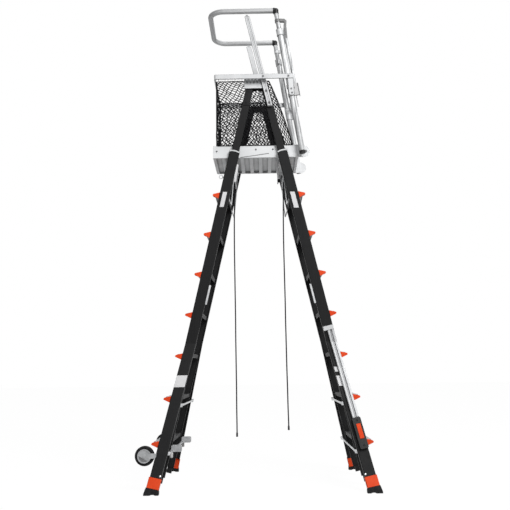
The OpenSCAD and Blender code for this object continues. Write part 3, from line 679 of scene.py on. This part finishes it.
def on_leg(side_x, side_y, x, y, height):
    knee = Vector((rail_foot_x - lean * flare_z, rail_face_y, flare_z))
    p = knee + leg_turn @ Vector((x, y, (height - flare_z) * leg_length))
    return spot(side_x * p.x, side_y * p.y, p.z)


for side, side_y in (("near", -1), ("far", 1)):
    out = leg_turn @ Vector((0, 1, 0))
    out.x, out.y = 0, out.y * side_y
    for k, height in enumerate((0.318, 0.478)):
        put(screw, f"housing_screw_{side}_{k}", on_leg(1, side_y, 0.012, 0.026, height), out, "front_base",
            moulded)
    for side_x, base in ((-1, "rear"), (1, "front")):
        put(rivet, f"{base}_leg_rivet_{side}", on_leg(side_x, side_y, -0.03, 0.0, 0.15), out, base + "_base",
            plated)

# Cord struts
# Pale barrels below the deck beside the near rails, which guide the lock cords, with rubber boots below.
# The roller-side one is a wide sleeve; the climbing-side one is held to the cross bar by a flat lug.
pale_coat = new_finish("pale_coat", (0.84, 0.84, 0.85), 0.45)
tint(pale_coat, pattern(pale_coat, 22), (0.78, 0.78, 0.79), (0.88, 0.88, 0.89))
wear(pale_coat, pattern(pale_coat, 60), 0.36, 0.55)
relief(pale_coat, pattern(pale_coat, 420), 0.0001)


def barrel(name, radius, low, axis, length, finish, body):
    bpy.ops.object.select_all(action="DESELECT")
    bpy.ops.mesh.primitive_cylinder_add(vertices=32, radius=radius, depth=length)
    tube = bpy.context.object
    tube.name = name
    pick_faces(tube, lambda centre, normal: abs(normal.z) > 0.9)
    bpy.ops.mesh.bevel(offset=radius * 0.16, segments=3, affect="EDGES")
    pick_faces(tube, lambda centre, normal: abs(normal.z) > 0.99)
    bpy.ops.mesh.inset(thickness=radius * 0.25, depth=0, use_individual=True)
    bpy.ops.mesh.inset(thickness=radius * 0.02, depth=-radius * 0.2, use_individual=True)
    bpy.ops.object.mode_set(mode="OBJECT")
    bpy.ops.object.shade_smooth_by_angle(angle=crease)
    turn = axis.to_track_quat("Z", "Y").to_matrix().to_4x4()
    tube.data.transform(Matrix.Translation(low + axis * length / 2) @ turn)
    tube.data.materials.append(finish)
    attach(tube, body)


strut_tilt = math.radians(8.1)
roller_low, roller_axis = spot(-0.196, -0.208, 2.237), Vector((math.sin(strut_tilt), 0, math.cos(strut_tilt)))
sleeve_radius, sleeve_length, sleeve_shift = 0.0205, 0.142, Vector((0.005, 0.003, -0.004))
barrel("strut_sleeve", sleeve_radius, roller_low + sleeve_shift, roller_axis, sleeve_length,
       pale_coat, "rear")
strut_y, strut_radius, lug_width, lug_thickness = -0.168, 0.0098, 0.018, 0.010
climbing_low, climbing_top = spot(0.151, strut_y, 2.259), spot(0.140, strut_y, 2.423)
climbing_run = climbing_top - climbing_low
climbing_axis = climbing_run.normalized()
barrel("strut_barrel", strut_radius, climbing_low, climbing_axis, climbing_run.length,
       pale_coat, "front")
lug = flat_bar("strut_lug", (0.147, 2.304), (0.191, 2.301), lug_width, strut_y, lug_thickness)
lug.data.transform(Matrix.Translation(spot(0, 0, 0)))
lug.data.materials.append(drawn)
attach(lug, "front")
boot_low_radius, boot_top_radius, boot_length = 0.0065, 0.011, 0.026
boot_drop, boot_edge = 0.009, 0.002
for name, low, axis, body in (("roller", roller_low, roller_axis, "rear"),
                              ("climbing", climbing_low, climbing_axis, "front")):
    bpy.ops.object.select_all(action="DESELECT")
    bpy.ops.mesh.primitive_cone_add(vertices=32, radius1=boot_low_radius, radius2=boot_top_radius,
                                    depth=boot_length, location=(0, 0, -boot_drop))
    boot = bpy.context.object
    boot.name = "strut_boot_" + name
    bpy.ops.object.transform_apply()
    pick_faces(boot, lambda centre, normal: abs(normal.z) > 0.9)
    bpy.ops.mesh.bevel(offset=boot_edge, segments=3, affect="EDGES")
    bpy.ops.object.mode_set(mode="OBJECT")
    bpy.ops.object.shade_smooth_by_angle(angle=crease)
    boot.data.transform(Matrix.Translation(low) @ axis.to_track_quat("Z", "Y").to_matrix().to_4x4())
    boot.data.materials.append(rubber)
    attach(boot, body)

# Gate bracket ribs
# Dark folded edges down both sides of the gate's lower bracket, with a lip along its foot.
# Each is a flat bar with round ends, set square to the leaning end post.
bracket_place, rib_width, rib_y, rib_thickness = spot(0.2672, -0.275, 2.835), 0.006, -0.0158, 0.0024
bracket = Matrix.Translation(bracket_place) @ Matrix.Rotation(-post_lean, 4, "Y")
for k, (start, end) in enumerate((((0.028, 0.100), (0.028, 0.134)), ((0.060, 0.045), (0.060, 0.134)),
                                  ((0.028, 0.042), (0.058, 0.042)))):
    rib = flat_bar(f"bracket_rib_{k}", start, end, rib_width, rib_y, rib_thickness)
    rib.data.transform(bracket)
    rib.data.materials.append(fastener)
    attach(rib, "gate")

# Wheel disc dark segment
# A darker grey segment on the lower part of each wheel's cover disc.
# A thin disc cut back to a segment by one plane and rounded along its rim.
wheel_x, wheel_z, disc_face_y = -0.795, 0.271, 0.4985
sector_radius, sector_thickness, sector_edge = 0.037, 0.0012, 0.0004
sector_cut, sector_cut_out = (-0.0075, -0.0135, 0), (0.48, 0.877, 0)
# The segment is a plain darker grey, laid on the lower part of the disc.
dark_sector_finish = new_finish("disc_dark_sector", (0.2, 0.2, 0.205), 0.6)
tint(dark_sector_finish, pattern(dark_sector_finish, 34), (0.16, 0.16, 0.165), (0.25, 0.25, 0.255))
relief(dark_sector_finish, pattern(dark_sector_finish, 420), 0.0002)
for side, out in (("near", near), ("far", far)):
    bpy.ops.object.select_all(action="DESELECT")
    bpy.ops.mesh.primitive_cylinder_add(vertices=48, radius=sector_radius, depth=sector_thickness)
    sector_piece = bpy.context.object
    sector_piece.name = "disc_dark_sector_" + side
    bpy.ops.object.mode_set(mode="EDIT")
    bpy.ops.mesh.select_all(action="SELECT")
    bpy.ops.mesh.bisect(plane_co=sector_cut, plane_no=sector_cut_out, use_fill=True, clear_outer=True)
    bpy.ops.object.mode_set(mode="OBJECT")
    bpy.ops.object.mode_set(mode="EDIT")
    bpy.ops.mesh.select_all(action="SELECT")
    bpy.ops.mesh.normals_make_consistent(inside=False)
    bpy.ops.mesh.bevel(offset=sector_edge, segments=2, affect="EDGES")
    bpy.ops.object.mode_set(mode="OBJECT")
    sector_place = spot(wheel_x, out.y * disc_face_y, wheel_z)
    sector_piece.data.transform(Matrix.Translation(sector_place) @ Matrix.Rotation(math.pi / 2, 4, "X"))
    sector_piece.data.materials.append(dark_sector_finish)
    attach(sector_piece, "rear_base")

# Pedal spring barrel
# A pale nylon barrel under the lower rod beside each pedal, which holds the pedal's return spring.
# A short upright cylinder with well-rounded ends.
spring_x, spring_y, spring_z = -0.6304, 0.3445, 0.260
spring_radius, spring_length, spring_edge = 0.0105, 0.037, 0.005
pale = new_finish("barrel_nylon", (0.7, 0.7, 0.69), 0.45)
tint(pale, pattern(pale, 40), (0.64, 0.64, 0.63), (0.76, 0.76, 0.75))
relief(pale, pattern(pale, 600), 0.0002)
for side, out in (("near", near), ("far", far)):
    bpy.ops.object.select_all(action="DESELECT")
    bpy.ops.mesh.primitive_cylinder_add(vertices=32, radius=spring_radius, depth=spring_length)
    case = bpy.context.object
    case.name = "spring_barrel_" + side
    pick_faces(case, lambda centre, normal: abs(normal.z) > 0.9)
    bpy.ops.mesh.bevel(offset=spring_edge, segments=5, affect="EDGES")
    bpy.ops.object.mode_set(mode="OBJECT")
    bpy.ops.object.shade_smooth_by_angle(angle=crease)
    case.data.transform(Matrix.Translation(spot(spring_x, out.y * spring_y, spring_z)))
    case.data.materials.append(pale)
    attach(case, "rear_base")

# Rail films
# Plain pale plastic film stuck on the outer faces of the near rails.
# A thin plate with eased edges, slanted to run along the rail.
film_thickness, film_edge = 0.0005, 0.00015
film = new_finish("pale_film", (0.82, 0.82, 0.83), 0.55)
tint(film, pattern(film, 12), (0.78, 0.78, 0.79), (0.86, 0.86, 0.87))
wear(film, pattern(film, 40), 0.45, 0.65)
for name, side_x, off, width, low, high, body in (
        ("film_roller", -1, 0.001, 0.031, 2.034, 2.148, "rear_base"),
        ("film_climbing", 1, -0.004, 0.035, 2.020, 2.142, "front_base"),
        ("film_roller_low", -1, 0.0, 0.078, 0.722, 0.803, "rear_base"),
        ("film_climbing_low", 1, -0.018, 0.040, 0.718, 0.788, "front_base"),
        ("film_climbing_tab", 1, -0.024, 0.026, 0.816, 0.850, "front_base")):
    bpy.ops.object.select_all(action="DESELECT")
    bpy.ops.mesh.primitive_cube_add(size=1.0)
    patch = bpy.context.object
    patch.name = name
    patch.data.transform(Matrix.Diagonal((width, film_thickness, high - low, 1)))
    bpy.ops.object.mode_set(mode="EDIT")
    bpy.ops.mesh.select_all(action="SELECT")
    bpy.ops.mesh.bevel(offset=film_edge, segments=2, affect="EDGES")
    bpy.ops.object.mode_set(mode="OBJECT")
    middle = (low + high) / 2
    spread = flare if middle < flare_z else 0
    slant = Matrix.Identity(4)
    slant[0][2] = -side_x * lean
    slant[1][2] = spread
    film_x = side_x * (rail_foot_x - lean * middle + off)
    film_y = rail_face_y + max(0, flare_z - middle) * flare + film_thickness
    patch.data.transform(Matrix.Translation(spot(film_x, -film_y, middle)) @ slant)
    patch.data.materials.append(film)
    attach(patch, body)

# Master heads
# The two master heads were only patterns for the copies above, so they are taken away.
for master in (rivet, screw):
    bpy.data.objects.remove(master)
